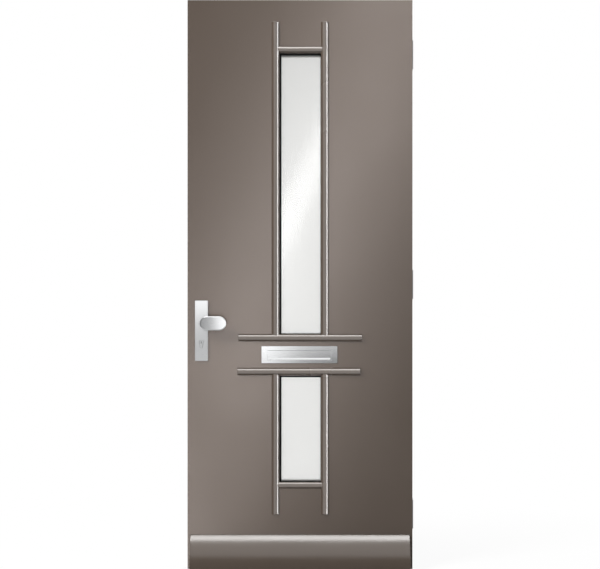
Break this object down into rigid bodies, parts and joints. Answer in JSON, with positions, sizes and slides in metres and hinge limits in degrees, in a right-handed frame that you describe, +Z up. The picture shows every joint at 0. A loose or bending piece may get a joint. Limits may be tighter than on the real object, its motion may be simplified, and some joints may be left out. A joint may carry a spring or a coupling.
{
  "type": "insulated front door",
  "caption": "Insulated front door leaf with two narrow glass lights, planted half-round bars, letter plate, handle plate with fixed knob, weather bar and butt hinges.",
  "frame": {"origin": "middle of the back of the middle frame side hinge plate, which bears on the door frame", "axes": "+X from the leaf to the hinge side frame, +Y into the room, +Z up"},
  "size_m": [0.9385, 0.1925, 2.353],
  "materials": {
    "leaf_paint": "satin",
    "bar_paint": "satin",
    "weather_paint": "satin",
    "edge_wood": "satin",
    "foam": "matte",
    "gasket_rubber": "satin",
    "glass": "satin",
    "spacer_metal": "satin",
    "fitting_metal": "satin",
    "sleeve_plastic": "satin",
    "cylinder_metal": "satin",
    "hinge_steel": "satin"
  },
  "bodies": {
    "frame_hinges": {"frame_hinge_plates": "hinge_steel", "hinge_pins": "hinge_steel"},
    "leaf": {"bottom_rail": "edge_wood", "bottom_short_bar": "bar_paint", "dead_bolt": "hinge_steel", "door_hinge_plates": "hinge_steel", "flap_pin": "hinge_steel", "foam_core": "foam", "hinge_stile": "edge_wood", "inner_handle_plate": "fitting_metal", "inner_letter_frame": "fitting_metal", "inner_skin": "leaf_paint", "inside_lever": "fitting_metal", "key_cylinder": "cylinder_metal", "latch_bolt": "hinge_steel", "letter_plate": "fitting_metal", "letter_sleeve": "sleeve_plastic", "lock_case": "hinge_steel", "lock_faceplate": "hinge_steel", "lock_stile": "edge_wood", "lower_crossbar": "bar_paint", "lower_inner_bead": "leaf_paint", "lower_inner_gasket": "gasket_rubber", "lower_inner_pane": "glass", "lower_left_bar": "bar_paint", "lower_light_liner": "leaf_paint", "lower_outer_gasket": "gasket_rubber", "lower_outer_pane": "glass", "lower_right_bar": "bar_paint", "lower_spacer": "spacer_metal", "outer_handle_plate": "fitting_metal", "outer_knob": "fitting_metal", "outer_skin": "leaf_paint", "top_rail": "edge_wood", "top_short_bar": "bar_paint", "upper_crossbar": "bar_paint", "upper_inner_bead": "leaf_paint", "upper_inner_gasket": "gasket_rubber", "upper_inner_pane": "glass", "upper_left_bar": "bar_paint", "upper_light_liner": "leaf_paint", "upper_outer_gasket": "gasket_rubber", "upper_outer_pane": "glass", "upper_right_bar": "bar_paint", "upper_spacer": "spacer_metal", "weather_bar": "weather_paint", "weather_bar_caps": "weather_paint"},
    "flap": {"letter_flap": "fitting_metal"}
  },
  "joints": [
    {"name": "door_swing", "type": "hinge", "parent": "frame_hinges", "child": "leaf", "pos_m": [-0.0045, 0.025, 0], "axis": [0, 0, -1], "range_deg": [0, 110]},
    {"name": "flap_swing", "type": "hinge", "parent": "leaf", "child": "flap", "pos_m": [-0.4735, -0.0467, -0.2675], "axis": [1, 0, 0], "range_deg": [0, 75], "stiffness_Nm_per_rad": 0.15, "springref_deg": -20.05}
  ]
}
